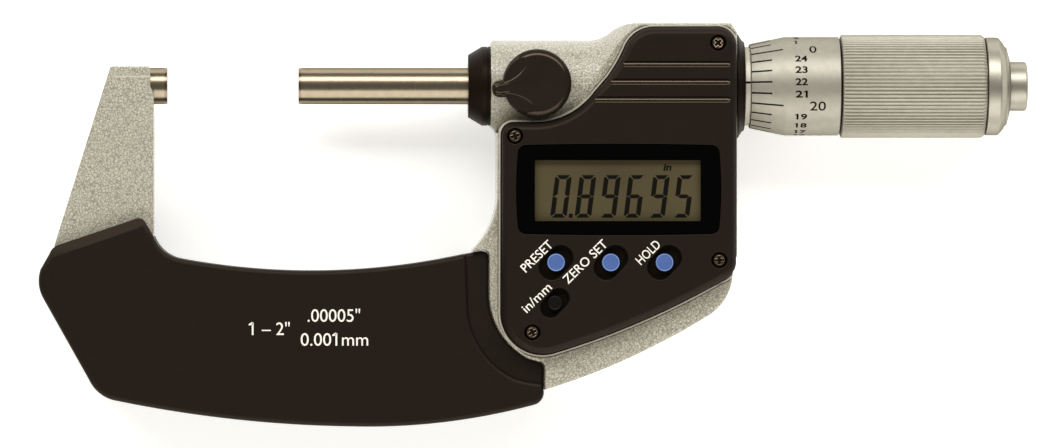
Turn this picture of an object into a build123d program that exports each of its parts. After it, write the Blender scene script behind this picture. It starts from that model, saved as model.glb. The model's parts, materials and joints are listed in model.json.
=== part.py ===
from build123d import *
import os

# Outside micrometer, 25-50 mm (1-2 in) class, digital, lying on its back.
# Millimetres. Origin: centre of the anvil's measuring face, on the spindle axis.
# +X points from the anvil to the thimble, +Z is the display side.

# driving dimensions along the spindle axis
REST_GAP = 22.782
SPINDLE_R = 3.175
THREAD_R = 3.6
TIP_LENGTH = 0.5
ANVIL_STAND_OUT = 2.93
SEAL_X = 52.35
HUB_X = 56.24
BUSH_X = 57.4
BUSH_END_X = 69.0
KEYWAY_START_X = 57.7
KEYWAY_END_X = 90.6
THREAD_X = 95.0
HOUSING_END_X = 98.95
COLLAR_END_X = 100.7
THIMBLE_X = 101.56
KNURL_X = 117.35
KNURL_END_X = 142.5
SLEEVE_END_X = 135.0
THIMBLE_WALL_X = 137.0
THIMBLE_END_X = 139.5
CAP_X = 143.06
KNOB_X = 146.87
KNOB_END_X = 149.9

# radii of the turned parts
SLEEVE_R = 6.85
SLEEVE_BORE_R = 5.75
THIMBLE_FRONT_R = 7.32
THIMBLE_R = 8.6
THIMBLE_BORE_R = 6.92
THIMBLE_TUBE_R = 7.85
KNURL_R = 9.0
KNURL_BORE_R = 7.93
CAP_R = 8.55
KNOB_R = 4.28
RUNNING = 0.035

# heights, measured from the spindle axis
BACK_Z = -9.5
FLOOR_Z = -7.7
BOW_HALF = 5.2
ARM_HALF = 4.6
BOW_COVER_Z = 6.9
FLANGE_Z = 6.3
CASTING_Z = 7.6
GASKET = 0.3
COVER_Z = 10.8
COVER_ROOF_Z = 8.8
WINDOW_Z = 11.0
RIB_Z = 11.1
BOARD_Z = 4.8
BOARD = 1.0
SKIN = 1.5
FIT = 0.1
BOSS_R = 2.3

# places on the display side
LOCK = (64.15, 0.3)
BUTTONS = {
    "origin_button": (67.4, -30.7),
    "zero_button": (76.9, -30.7),
    "hold_button": (86.2, -30.7),
    "unit_button": (67.2, -37.7),
}
COVER_SCREWS = [(60.3, -8.8), (95.5, 7.35), (95.7, -30.3), (63.3, -42.8)]
BOW_SCREWS = [(-12.0, -40.0), (20.0, -45.5), (48.0, -44.5)]
BATTERY = (77.5, -29.5)
BATTERY_R = 5.8
WINDOW = (60.5, 96.0, -26.0, -10.35)
LCD_VIEW = (63.8, 92.4, -23.5, -13.0)


def slab(sketch, low, high):
    return Pos(0, 0, low) * extrude(sketch, high - low)


def block(x0, x1, y0, y1, z0, z1):
    middle = Pos((x0 + x1) / 2, (y0 + y1) / 2, (z0 + z1) / 2)
    return middle * Box(x1 - x0, y1 - y0, z1 - z0)


def post(spot, radius, low, high):
    middle = Pos(spot[0], spot[1], (low + high) / 2)
    return middle * Cylinder(radius, high - low)


def rod(x0, x1, radius):
    return Pos((x0 + x1) / 2, 0, 0) * Rot(0, 90, 0) * Cylinder(radius, x1 - x0)


def tube(x0, x1, outer, bore):
    return rod(x0, x1, outer) - rod(x0 - 1, x1 + 1, bore)


def turned(*points):
    profile = make_face(Polyline(*points, close=True))
    return revolve(profile, axis=Axis.X)


def closed(*edges):
    return make_face(Curve() + list(edges))


def bow_cover_outline():
    return closed(
        Line((-19.6, -27.9), (-5.6, -23.2)),
        ThreePointArc((-5.6, -23.2), (-4.6, -23.1), (-3.7, -23.8)),
        Line((-3.7, -23.8), (-2.35, -26.1)),
        ThreePointArc((-2.35, -26.1), (-1.0, -28.25), (2.3, -30.05)),
        ThreePointArc((2.3, -30.05), (24.8, -32.15), (51.3, -29.35)),
        Line((51.3, -29.35), (54.6, -28.75)),
        ThreePointArc((54.6, -28.75), (55.45, -29.0), (55.8, -29.8)),
        Line((55.8, -29.8), (55.8, -35.9)),
        ThreePointArc((55.8, -35.9), (58.4, -43.87), (62.63, -47.53)),
        Line((62.63, -47.53), (64.4, -48.05)),
        ThreePointArc((64.4, -48.05), (65.1, -48.4), (65.4, -49.1)),
        Line((65.4, -49.1), (65.4, -53.0)),
        ThreePointArc((65.4, -53.0), (65.0, -54.6), (63.8, -55.45)),
        ThreePointArc((63.8, -55.45), (51.25, -58.05), (32.1, -59.2)),
        ThreePointArc((32.1, -59.2), (12.95, -58.08), (-9.34, -54.6)),
        ThreePointArc((-9.34, -54.6), (-12.1, -53.04), (-13.52, -51.03)),
        Line((-13.52, -51.03), (-21.35, -37.1)),
        ThreePointArc((-21.35, -37.1), (-22.2, -34.5), (-21.9, -31.9)),
        Line((-21.9, -31.9), (-19.6, -27.9)),
    )


def flange_outline():
    # the lower strip that runs down the right end of the bow covers
    return closed(
        Line((51.95, -25.0), (51.95, -30.1)),
        ThreePointArc((51.95, -30.1), (52.15, -35.0), (52.3, -39.3)),
        ThreePointArc((52.3, -39.3), (55.0, -46.3), (60.47, -50.8)),
        Line((60.47, -50.8), (70.0, -52.6)),
        Line((70.0, -52.6), (70.0, -25.0)),
        Line((70.0, -25.0), (51.95, -25.0)),
    )


def arm_outline():
    return closed(
        Line((-9.85, 3.35), (-2.93, 3.35)),
        Line((-2.93, 3.35), (-2.93, -0.1)),
        ThreePointArc((-2.93, -0.1), (-2.8, -0.9), (-2.34, -1.4)),
        Line((-2.34, -1.4), (-2.34, -25.9)),
        Line((-2.34, -25.9), (-3.95, -26.5)),
        Line((-3.95, -26.5), (-18.1, -28.2)),
        Line((-18.1, -28.2), (-19.3, -26.9)),
        Line((-19.3, -26.9), (-9.85, 3.35)),
    )


def bow_outline():
    # the cast bow, hidden between its two covers
    return closed(
        Line((-18.1, -28.55), (-5.4, -24.3)),
        Line((-5.4, -24.3), (-4.3, -24.4)),
        Line((-4.3, -24.4), (-3.95, -25.0)),
        Line((-3.95, -25.0), (-3.95, -26.5)),
        ThreePointArc((-3.95, -26.5), (-2.1, -29.4), (1.9, -31.6)),
        ThreePointArc((1.9, -31.6), (24.8, -33.7), (52.0, -30.85)),
        Line((52.0, -30.85), (60.0, -31.0)),
        Line((60.0, -31.0), (67.5, -46.0)),
        Line((67.5, -46.0), (67.5, -50.8)),
        Line((67.5, -50.8), (63.9, -53.0)),
        ThreePointArc((63.9, -53.0), (51.0, -56.4), (32.1, -57.6)),
        ThreePointArc((32.1, -57.6), (13.1, -56.5), (-8.9, -53.05)),
        ThreePointArc((-8.9, -53.05), (-10.9, -51.9), (-12.1, -50.35)),
        Line((-12.1, -50.35), (-19.9, -36.5)),
        ThreePointArc((-19.9, -36.5), (-20.6, -34.5), (-20.3, -32.3)),
        Line((-20.3, -32.3), (-18.1, -28.55)),
    )


def housing_outline():
    return closed(
        ThreePointArc((56.24, 7.2), (56.45, 7.8), (57.05, 8.0)),
        Line((57.05, 8.0), (73.7, 8.0)),
        ThreePointArc((73.7, 8.0), (75.5, 8.4), (77.1, 9.35)),
        ThreePointArc((77.1, 9.35), (78.9, 10.4), (80.9, 10.83)),
        Line((80.9, 10.83), (97.9, 10.83)),
        Line((97.9, 10.83), (98.95, 9.2)),
        Line((98.95, 9.2), (98.95, -31.0)),
        ThreePointArc((98.95, -31.0), (97.4, -36.2), (93.07, -40.57)),
        ThreePointArc((93.07, -40.57), (89.2, -42.75), (85.07, -44.92)),
        ThreePointArc((85.07, -44.92), (76.9, -48.75), (68.54, -51.88)),
        Line((68.54, -51.88), (65.0, -53.0)),
        Line((65.0, -53.0), (60.0, -50.0)),
        Line((60.0, -50.0), (52.5, -36.0)),
        Line((52.5, -36.0), (52.9, -28.7)),
        ThreePointArc((52.9, -28.7), (55.76, -24.92), (57.29, -18.6)),
        Line((57.29, -18.6), (57.3, -8.7)),
        ThreePointArc((57.3, -8.7), (56.98, -7.9), (56.24, -7.1)),
        Line((56.24, -7.1), (56.24, 7.2)),
    )


def cover_outline():
    # the display cover, from its upper left corner round clockwise
    return closed(
        ThreePointArc((57.87, -8.6), (58.5, -7.0), (60.2, -6.35)),
        Line((60.2, -6.35), (64.1, -6.4)),
        ThreePointArc((64.1, -6.4), (69.2, -5.15), (74.1, -1.1)),
        Line((74.1, -1.1), (76.4, 1.55)),
        ThreePointArc((76.4, 1.55), (78.2, 4.4), (79.4, 6.9)),
        ThreePointArc((79.4, 6.9), (81.3, 9.2), (84.4, 10.2)),
        Line((84.4, 10.2), (95.7, 10.25)),
        ThreePointArc((95.7, 10.25), (97.8, 9.1), (98.6, 6.5)),
        Line((98.6, 6.5), (98.75, -30.6)),
        ThreePointArc((98.75, -30.6), (97.3, -33.4), (93.5, -35.25)),
        ThreePointArc((93.5, -35.25), (80.9, -41.6), (67.6, -46.35)),
        ThreePointArc((67.6, -46.35), (60.35, -45.0), (57.8, -39.15)),
        Line((57.8, -39.15), (57.87, -8.6)),
    )


def cavity_outline():
    room = offset(cover_outline(), -1.7)
    for spot in COVER_SCREWS:
        room -= Pos(*spot) * Circle(BOSS_R)
    return room


def frame():
    cover_room = offset(bow_cover_outline(), 0.12)
    body = slab(housing_outline() - cover_room, BACK_Z, CASTING_Z)
    body += slab(bow_outline(), -BOW_HALF, BOW_HALF)
    body += slab(arm_outline(), -ARM_HALF, ARM_HALF)
    body -= slab(cavity_outline(), FLOOR_Z, CASTING_Z + 1)
    body += block(94.9, 98.4, -8.4, 8.4, FLOOR_Z - 0.5, CASTING_Z)
    body += post(BATTERY, BATTERY_R + 1.8, BACK_Z, -2.6)
    body -= post(BATTERY, BATTERY_R + 0.1, BACK_Z - 1, 0)
    body -= post(BATTERY, 7.28, BACK_Z - 1, -8.1)
    body -= post(BATTERY, 7.2, -8.5, -7.7)
    body += post(BATTERY, 6.45, -8.1, -7.7) - post(BATTERY, BATTERY_R + 0.1, -9, -7)
    # the bore line of the spindle
    body -= rod(HUB_X - 1, BUSH_X, 6.0)
    body -= rod(BUSH_X - 0.5, BUSH_END_X, 5.0)
    body -= rod(BUSH_END_X - 0.5, 97.0, 4.2)
    body -= rod(94.0, HOUSING_END_X + 1, SLEEVE_R)
    body -= rod(-8.4, 0, 2.0)
    body -= rod(-ANVIL_STAND_OUT, 0, SPINDLE_R)
    body -= post(LOCK, 1.6, 2.0, CASTING_Z + 1)
    for spot in BOW_SCREWS:
        body -= post(spot, 2.3, -BOW_HALF - 1, BOW_HALF + 1)
    for spot in COVER_SCREWS:
        body -= post(spot, 0.7, 1.5, CASTING_Z + 1)
    return body


def anvil():
    head = rod(-ANVIL_STAND_OUT, -TIP_LENGTH, SPINDLE_R)
    return head + rod(-8.3, -2.5, 2.0)


def anvil_tip():
    return rod(-TIP_LENGTH, 0, SPINDLE_R)


def bow_cover_front():
    outline = bow_cover_outline()
    shell = slab(outline, FIT, BOW_COVER_Z)
    shell -= slab(flange_outline(), FLANGE_Z, BOW_COVER_Z + 1)
    shell -= slab(offset(bow_outline(), FIT), 0, BOW_HALF + FIT)
    shell -= slab(offset(arm_outline(), FIT), 0, ARM_HALF + FIT)
    for spot in BOW_SCREWS:
        shell += post(spot, 2.15, FIT, BOW_HALF + 0.5)
        shell -= post(spot, 1.0, 0, 4.5)
    return shell


def bow_cover_rear():
    outline = bow_cover_outline()
    shell = slab(outline, BACK_Z, -FIT)
    shell -= slab(offset(outline, -SKIN), -8.0, -BOW_HALF)
    shell -= slab(offset(bow_outline(), FIT), -BOW_HALF - FIT, 0)
    shell -= slab(offset(arm_outline(), FIT), -ARM_HALF - FIT, 0)
    for spot in BOW_SCREWS:
        shell += post(spot, 2.15, -8.5, -FIT)
        shell -= post(spot, 1.2, -9, 1)
        shell -= post(spot, 1.75, BACK_Z - 1, -6.4)
        shell += post(spot, 2.9, BACK_Z, -6.9) - post(spot, 1.75, -10, -6)
    return shell


def cross_screw(spot, seat, top, head_r, shank_r, length, way):
    # a pan head screw with a cross recess, its head towards way
    head = post(spot, head_r, min(seat, top), max(seat, top))
    shank = post(spot, shank_r, min(seat, seat - way * length), max(seat, seat - way * length))
    deep = top - way * 0.55
    for width, depth in ((head_r * 1.1, head_r * 0.3), (head_r * 0.3, head_r * 1.1)):
        x, y = spot
        head -= block(x - width / 2, x + width / 2, y - depth / 2, y + depth / 2,
                      min(deep, top), max(deep, top))
    return head + shank


def bow_cover_screws():
    screws = [cross_screw(spot, -6.4, -8.6, 1.65, 1.0, 10.5, -1) for spot in BOW_SCREWS]
    return Compound(children=[Part() + screw for screw in screws])


def cover_screws():
    screws = [cross_screw(spot, 9.3, 10.4, 1.25, 0.7, 6.5, 1) for spot in COVER_SCREWS]
    return Compound(children=[Part() + screw for screw in screws])


def spindle_seal_cap():
    return turned(
        (SEAL_X, 3.4), (SEAL_X, 5.5), (54.8, 6.9), (HUB_X, 6.9), (HUB_X, 6.0),
        (BUSH_X, 6.0), (BUSH_X, 4.6), (53.7, 4.6), (53.7, 3.4),
    )


def wiper_seal():
    return tube(54.0, BUSH_X - 0.2, 4.6, SPINDLE_R + RUNNING)


def spindle_bush():
    bush = tube(BUSH_X, BUSH_END_X, 5.0, SPINDLE_R + RUNNING)
    return bush - post(LOCK, 1.6, 2.0, 8.0)


def lock_pad():
    return post(LOCK, 1.5, SPINDLE_R + 0.05, 4.0)


def lock_screw():
    return post(LOCK, 1.5, 4.1, 8.6)


def lever_tab():
    x, y = LOCK
    tab = closed(
        Line((x - 7.3, y - 1.0), (x - 3.0, y - 2.2)),
        Line((x - 3.0, y - 2.2), (x - 3.0, y + 2.2)),
        Line((x - 3.0, y + 2.2), (x - 7.3, y + 1.0)),
        ThreePointArc((x - 7.3, y + 1.0), (x - 7.8, y), (x - 7.3, y - 1.0)),
    )
    return Pos(x, y) * Rot(0, 0, 8.5) * Pos(-x, -y) * slab(tab, 7.7, 10.2)


def lock_lever():
    disc = post(LOCK, 5.98, 7.7, 10.6)
    disc = chamfer(disc.edges().group_by(Axis.Z)[-1], 0.8)
    return disc + lever_tab() - post(LOCK, 1.5, 7.0, 8.6)


def key_slot():
    return block(KEYWAY_START_X, KEYWAY_END_X, -0.6, 0.6, -4.0, -SPINDLE_R + 0.7)


def spindle():
    shaft = rod(REST_GAP + TIP_LENGTH, THREAD_X + 0.5, SPINDLE_R)
    shaft += rod(THREAD_X, THIMBLE_WALL_X, THREAD_R)
    shaft += turned((THIMBLE_WALL_X - 0.1, 0), (THIMBLE_WALL_X - 0.1, 3.6),
                    (THIMBLE_WALL_X, 3.6), (THIMBLE_END_X, 3.0), (THIMBLE_END_X, 0))
    return shaft - key_slot() - rod(131.0, THIMBLE_END_X + 1, 1.6)


def spindle_tip():
    return rod(REST_GAP, REST_GAP + TIP_LENGTH, SPINDLE_R)


def thimble():
    return turned(
        (THIMBLE_X, THIMBLE_BORE_R), (THIMBLE_X, THIMBLE_FRONT_R), (107.5, THIMBLE_R),
        (117.15, THIMBLE_R), (117.15, THIMBLE_TUBE_R), (THIMBLE_END_X, THIMBLE_TUBE_R),
        (THIMBLE_END_X, 3.0), (THIMBLE_WALL_X, 3.6), (THIMBLE_WALL_X, THIMBLE_BORE_R),
    )


def thimble_screw():
    screw = rod(131.0, 141.1, 1.6) + rod(141.0, 142.0, 3.8)
    return screw - block(141.6, 143.0, -0.5, 0.5, -5.0, 5.0)


def toothed(ring, face_x):
    # twelve shallow notches across the ring's face
    for step in range(12):
        notch = Rot(step * 30, 0, 0) * Pos(face_x, 5.4, 0) * Rot(0, 45, 0) * Box(0.4, 4.0, 0.4)
        ring -= notch
    return ring


def ratchet_ring():
    return toothed(tube(THIMBLE_END_X, 141.0, 6.3, 1.65), 141.0)


def ratchet_washer():
    return toothed(tube(141.15, 142.2, 6.45, 4.2), 141.15)


def ratchet_spring():
    path = Helix(pitch=0.8, height=1.55, radius=5.2)
    start = path @ 0
    coil = sweep(Plane(start, z_dir=path % 0) * Circle(0.3), path=path, is_frenet=True)
    return Pos(142.6, 0, 0) * Rot(0, 90, 0) * coil


def ratchet_sleeve():
    return turned(
        (KNURL_X, KNURL_BORE_R), (KNURL_X, 8.8), (KNURL_X + 0.2, KNURL_R),
        (KNURL_END_X - 0.4, KNURL_R), (KNURL_END_X, 8.6), (KNURL_END_X, KNURL_BORE_R),
    )


def end_cap():
    return turned(
        (139.8, 6.6), (139.8, KNURL_BORE_R), (KNURL_END_X, KNURL_BORE_R), (KNURL_END_X, 7.3),
        (CAP_X, 7.3), (CAP_X, 8.3), (CAP_X + 0.25, CAP_R), (144.9, CAP_R), (145.7, 7.6),
        (146.05, 6.9), (146.4, 6.75), (KNOB_X, 4.6), (KNOB_X, 1.8), (144.6, 1.8), (144.6, 6.6),
    )


def speeder_knob():
    return turned(
        (144.6, 0), (144.6, 1.8), (KNOB_X, 1.8), (KNOB_X, KNOB_R), (149.4, KNOB_R),
        (149.8, 4.0), (KNOB_END_X, 3.6), (KNOB_END_X, 0),
    )


def inner_sleeve():
    return tube(94.9, SLEEVE_END_X, SLEEVE_R, SLEEVE_BORE_R)


def rear_collar():
    return turned(
        (HOUSING_END_X, SLEEVE_R), (HOUSING_END_X, 9.2), (99.3, 9.2), (100.35, 7.95),
        (COLLAR_END_X, 7.8), (COLLAR_END_X, SLEEVE_R),
    )


def spindle_nut():
    return tube(122.5, 131.0, SLEEVE_BORE_R, THREAD_R + RUNNING)


def adjusting_nut():
    nut = tube(131.2, 134.8, SLEEVE_BORE_R, 3.9)
    return nut - block(134.0, 135.0, -0.6, 0.6, -7.0, 7.0)


def encoder_rotor():
    disc = tube(85.5, 87.0, 6.2, SPINDLE_R + RUNNING)
    hub = tube(84.4, 89.8, 4.1, SPINDLE_R + RUNNING)
    key = block(85.9, 89.4, -0.55, 0.55, -3.6, -SPINDLE_R + 0.65)
    return disc + hub + key


def encoder_stator():
    plate = block(81.9, 83.5, -7.3, 7.3, FLOOR_Z, 7.0)
    return plate - rod(80.0, 85.0, 4.4)


def encoder_ribbon():
    ribbon = block(82.0, 83.4, -12.0, -7.3, BOARD_Z + BOARD, BOARD_Z + BOARD + 0.2)
    return ribbon


def housing_gasket():
    ring = cover_outline() - offset(cover_outline(), -1.5)
    for spot in COVER_SCREWS:
        ring += Pos(*spot) * Circle(BOSS_R)
        ring -= Pos(*spot) * Circle(0.9)
    return slab(ring & cover_outline(), CASTING_Z, CASTING_Z + GASKET)


def button_well(spot):
    return Pos(*spot) * Rot(0, 0, 45) * SlotCenterToCenter(2.1, 4.54)


def display_cover():
    low = CASTING_Z + GASKET
    cover = slab(cover_outline(), low, COVER_Z - 0.5)
    cover += slab(offset(cover_outline(), -0.4), COVER_Z - 0.5, COVER_Z)
    cover -= slab(cavity_outline(), low - 1, COVER_ROOF_Z)
    x0, x1, y0, y1 = WINDOW
    cover -= block(x0, x1, y0, y1, 9.8, COVER_Z + 1)
    cover -= block(LCD_VIEW[0] - 1.5, LCD_VIEW[1] + 1.5, LCD_VIEW[2] - 1.2, LCD_VIEW[3] + 1.2,
                   7.0, COVER_Z + 1)
    for spot in BUTTONS.values():
        cover -= slab(button_well(spot), 9.5, COVER_Z + 1)
        cover -= post(spot, 0.95, 7.0, COVER_Z)
    for spot in COVER_SCREWS:
        cover -= post(spot, 1.45, 9.3, COVER_Z + 1)
        cover -= post(spot, 0.9, 7.0, 10.0)
    for start, y in ((81.4, 2.95), (79.4, -0.05), (76.6, -3.1)):
        cover += block(start, 96.0, y - 0.25, y + 0.25, COVER_Z - 0.2, RIB_Z)
    return cover


def display_window():
    x0, x1, y0, y1 = WINDOW
    pane = block(x0 + 0.05, x1 - 0.05, y0 + 0.05, y1 - 0.05, 9.8, WINDOW_Z)
    return fillet(pane.edges().filter_by(Axis.Z), 0.6)


def lcd_panel():
    x0, x1, y0, y1 = LCD_VIEW
    return block(x0 - 1.4, x1 + 1.4, y0 - 1.1, y1 + 1.1, 8.3, 9.7)


def contact_strip():
    # the striped rubber connector between the display glass and the board
    return block(66.0, 90.0, -24.4, -23.2, BOARD_Z + BOARD, 8.3)


def circuit_board():
    outline = offset(cover_outline(), -2.0) & (Pos(78, -28) * Rectangle(60, 39.0))
    for spot in COVER_SCREWS:
        outline -= Pos(*spot) * Circle(BOSS_R + 0.3)
    return slab(outline, BOARD_Z, BOARD_Z + BOARD)


def tact_switches():
    top = BOARD_Z + BOARD
    switches = []
    for x, y in BUTTONS.values():
        can = block(x - 1.5, x + 1.5, y - 1.5, y + 1.5, top, top + 0.9)
        switches.append(can + post((x, y), 0.8, top + 0.5, top + 1.3))
    return Compound(children=[Part() + switch for switch in switches])


def button_seal():
    sheet = Pos(76.7, -30.7) * RectangleRounded(23.5, 5.0, 1.5)
    sheet += Pos(67.2, -35.5) * RectangleRounded(5.0, 8.0, 1.5)
    return slab(sheet, 7.2, 7.6)


def push_button(spot):
    cap = post(spot, 1.6, 10.05, 10.75)
    cap = chamfer(cap.edges().group_by(Axis.Z)[-1], 0.15)
    return cap + post(spot, 0.9, 8.3, 10.2) + post(spot, 1.4, 8.2, 8.65)


def battery():
    can = post(BATTERY, BATTERY_R, -7.9, -3.2)
    can = chamfer(can.edges().group_by(Axis.Z)[-1], 0.4)
    return can + post(BATTERY, 4.3, -3.4, -2.6)


def battery_contacts():
    x, y = BATTERY
    centre = block(x - 1.0, x + 9.2, y - 1.1, y + 1.1, -2.6, -2.35)
    centre += block(x + 8.95, x + 9.2, y - 1.1, y + 1.1, -2.6, BOARD_Z)
    side = block(x - 1.1, x + 1.1, y - 9.2, y - 4.8, -2.6, -2.35)
    side += block(x - 1.1, x + 1.1, y - 9.2, y - 8.95, -2.6, BOARD_Z)
    side += block(x - 1.1, x + 1.1, y - 5.4, y - 4.8, -3.15, -2.35)
    return Compound(children=[Part() + centre, Part() + side])


def battery_lid():
    lid = post(BATTERY, 7.2, BACK_Z, -8.15)
    x, y = BATTERY
    lid -= block(x - 5.5, x + 5.5, y - 0.8, y + 0.8, BACK_Z - 1, BACK_Z + 0.7)
    return lid


def battery_o_ring():
    return post(BATTERY, 7.15, -8.1, -7.7) - post(BATTERY, 6.5, -9, -7)


def main():
    pieces = {
        "frame": frame(),
        "anvil": anvil(),
        "anvil_tip": anvil_tip(),
        "bow_cover_front": bow_cover_front(),
        "bow_cover_rear": bow_cover_rear(),
        "bow_cover_screws": bow_cover_screws(),
        "spindle_seal_cap": spindle_seal_cap(),
        "wiper_seal": wiper_seal(),
        "spindle_bush": spindle_bush(),
        "lock_pad": lock_pad(),
        "lock_screw": lock_screw(),
        "lock_lever": lock_lever(),
        "spindle": spindle(),
        "spindle_tip": spindle_tip(),
        "thimble": thimble(),
        "thimble_screw": thimble_screw(),
        "ratchet_ring": ratchet_ring(),
        "ratchet_washer": ratchet_washer(),
        "ratchet_spring": ratchet_spring(),
        "ratchet_sleeve": ratchet_sleeve(),
        "end_cap": end_cap(),
        "speeder_knob": speeder_knob(),
        "inner_sleeve": inner_sleeve(),
        "rear_collar": rear_collar(),
        "spindle_nut": spindle_nut(),
        "adjusting_nut": adjusting_nut(),
        "encoder_rotor": encoder_rotor(),
        "encoder_stator": encoder_stator(),
        "encoder_ribbon": encoder_ribbon(),
        "display_cover": display_cover(),
        "housing_gasket": housing_gasket(),
        "cover_screws": cover_screws(),
        "display_window": display_window(),
        "lcd_panel": lcd_panel(),
        "contact_strip": contact_strip(),
        "circuit_board": circuit_board(),
        "tact_switches": tact_switches(),
        "button_seal": button_seal(),
        "battery": battery(),
        "battery_contacts": battery_contacts(),
        "battery_lid": battery_lid(),
        "battery_o_ring": battery_o_ring(),
    }
    for name, spot in BUTTONS.items():
        pieces[name] = push_button(spot)
    os.makedirs("parts", exist_ok=True)
    for name, piece in pieces.items():
        piece.label = name
        export_step(piece, f"parts/{name}.step")


main()
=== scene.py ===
import contextlib
import json
import math

import bmesh
import bpy
import numpy as np
from mathutils import Matrix, Vector
from mathutils.geometry import tessellate_polygon


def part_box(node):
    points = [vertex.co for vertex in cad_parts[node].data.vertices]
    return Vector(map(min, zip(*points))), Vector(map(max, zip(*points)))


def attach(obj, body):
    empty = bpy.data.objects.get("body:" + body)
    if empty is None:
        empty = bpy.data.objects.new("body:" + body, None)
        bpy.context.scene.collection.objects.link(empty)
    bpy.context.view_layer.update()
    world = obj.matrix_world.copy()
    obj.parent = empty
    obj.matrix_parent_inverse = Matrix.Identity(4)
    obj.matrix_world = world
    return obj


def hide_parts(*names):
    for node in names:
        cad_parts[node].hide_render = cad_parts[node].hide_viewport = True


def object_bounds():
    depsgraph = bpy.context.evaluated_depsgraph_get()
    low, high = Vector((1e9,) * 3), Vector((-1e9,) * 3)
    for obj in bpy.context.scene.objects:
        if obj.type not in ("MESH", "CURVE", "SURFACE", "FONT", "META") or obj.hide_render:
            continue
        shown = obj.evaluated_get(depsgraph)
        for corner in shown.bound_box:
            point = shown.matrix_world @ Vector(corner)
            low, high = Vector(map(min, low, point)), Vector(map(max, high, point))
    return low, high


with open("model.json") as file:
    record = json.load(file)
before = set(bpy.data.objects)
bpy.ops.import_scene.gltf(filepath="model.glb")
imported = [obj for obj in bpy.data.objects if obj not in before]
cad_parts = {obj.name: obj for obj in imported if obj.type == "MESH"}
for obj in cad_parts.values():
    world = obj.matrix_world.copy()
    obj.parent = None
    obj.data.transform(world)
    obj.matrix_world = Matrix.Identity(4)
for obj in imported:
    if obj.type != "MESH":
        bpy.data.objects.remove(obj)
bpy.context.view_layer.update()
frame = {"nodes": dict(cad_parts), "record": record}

# Lengths are millimetres in the frame's axes, until piece() scales a finished mesh to metres.
MM = 0.001
ARC_STEP = 0.35    # longest chord of an outline's arc
ARC_TURN = 0.2     # and its largest turn, in radians
TURNS = 160        # facets of a turned piece
SHARP = math.radians(32)

BODY = "frame_body"
SPINDLE = "spindle_body"
RATCHET = "ratchet_body"
LEVER = "lock_lever_body"


# ---- places

def cad_low(node):
    return np.array(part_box(node)[0]) / MM


def cad_high(node):
    return np.array(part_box(node)[1]) / MM


def cad_middle(node):
    return (cad_low(node) + cad_high(node)) / 2


def cad_span(node, axis=0):
    return cad_low(node)[axis], cad_high(node)[axis]


# ---- outlines

def arc_points(a, b, c):
    """The points after a on the arc from a through b to c."""
    (ax, ay), (bx, by), (cx, cy) = a, b, c
    d = 2 * (ax * (by - cy) + bx * (cy - ay) + cx * (ay - by))
    a2, b2, c2 = ax * ax + ay * ay, bx * bx + by * by, cx * cx + cy * cy
    ux = (a2 * (by - cy) + b2 * (cy - ay) + c2 * (ay - by)) / d
    uy = (a2 * (cx - bx) + b2 * (ax - cx) + c2 * (bx - ax)) / d
    radius = math.hypot(ax - ux, ay - uy)
    start = math.atan2(ay - uy, ax - ux)
    middle = (math.atan2(by - uy, bx - ux) - start) % math.tau
    sweep = (math.atan2(cy - uy, cx - ux) - start) % math.tau
    if middle > sweep:
        sweep -= math.tau
    count = max(3, math.ceil(abs(sweep) * radius / ARC_STEP), math.ceil(abs(sweep) / ARC_TURN))
    turns = [start + sweep * i / count for i in range(1, count + 1)]
    return [(ux + radius * math.cos(t), uy + radius * math.sin(t)) for t in turns]


def outline(start, *steps):
    """A closed loop: a step is a point for a line, or a pair of points for an arc."""
    points = [start]
    for step in steps:
        if isinstance(step[0], tuple):
            points += arc_points(points[-1], *step)
        else:
            points.append(step)
    loop = np.array(points, float)
    if np.allclose(loop[0], loop[-1], atol=1e-6):
        loop = loop[:-1]
    return loop if area(loop) > 0 else loop[::-1]


def area(loop):
    x, y = loop[:, 0], loop[:, 1]
    return 0.5 * float(np.sum(x * np.roll(y, -1) - np.roll(x, -1) * y))


def turned(x, y, angle, centre=(0, 0)):
    """The point (x, y) turned by angle, then moved by centre."""
    c, s = math.cos(angle), math.sin(angle)
    return (centre[0] + c * x - s * y, centre[1] + s * x + c * y)


def rounded(corners):
    """A line through corners (a, b, radius), each turned on its own radius."""
    points = []
    for i, (x, y, radius) in enumerate(corners):
        here = np.array((x, y), float)
        if radius <= 0:
            points.append(here)
            continue
        back = np.array(corners[i - 1][:2], float) - here
        on = np.array(corners[(i + 1) % len(corners)][:2], float) - here
        back_unit, on_unit = back / np.linalg.norm(back), on / np.linalg.norm(on)
        half = math.acos(np.clip(back_unit @ on_unit, -1, 1)) / 2
        reach = radius / math.tan(half)
        bisector = (back_unit + on_unit) / np.linalg.norm(back_unit + on_unit)
        centre = here + bisector * radius / math.sin(half)
        first = here + back_unit * reach
        turn = math.pi - 2 * half
        side = np.sign(back_unit[1] * on_unit[0] - back_unit[0] * on_unit[1])
        steps = max(2, math.ceil(turn / 0.22))
        for k in range(steps + 1):
            t = side * turn * k / steps
            dx, dy = first - centre
            points.append(turned(dx, dy, t, centre))
    return np.array(points)


def circle(radius, centre=(0, 0), count=96):
    turn = np.arange(count) * math.tau / count
    return np.c_[centre[0] + radius * np.cos(turn), centre[1] + radius * np.sin(turn)]


def rectangle(x0, y0, x1, y1, radius):
    return rounded([(x0, y0, radius), (x1, y0, radius), (x1, y1, radius), (x0, y1, radius)])


def stadium(centre, half_length, radius, angle, count=14):
    """A slot's outline, turned by angle."""
    points = []
    for side in (1, -1):
        for k in range(count + 1):
            t = -math.pi / 2 + math.pi * k / count
            points.append((side * (half_length + radius * math.cos(t)), side * radius * math.sin(t)))
    return np.array([turned(x, y, angle, centre) for x, y in points])


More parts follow.
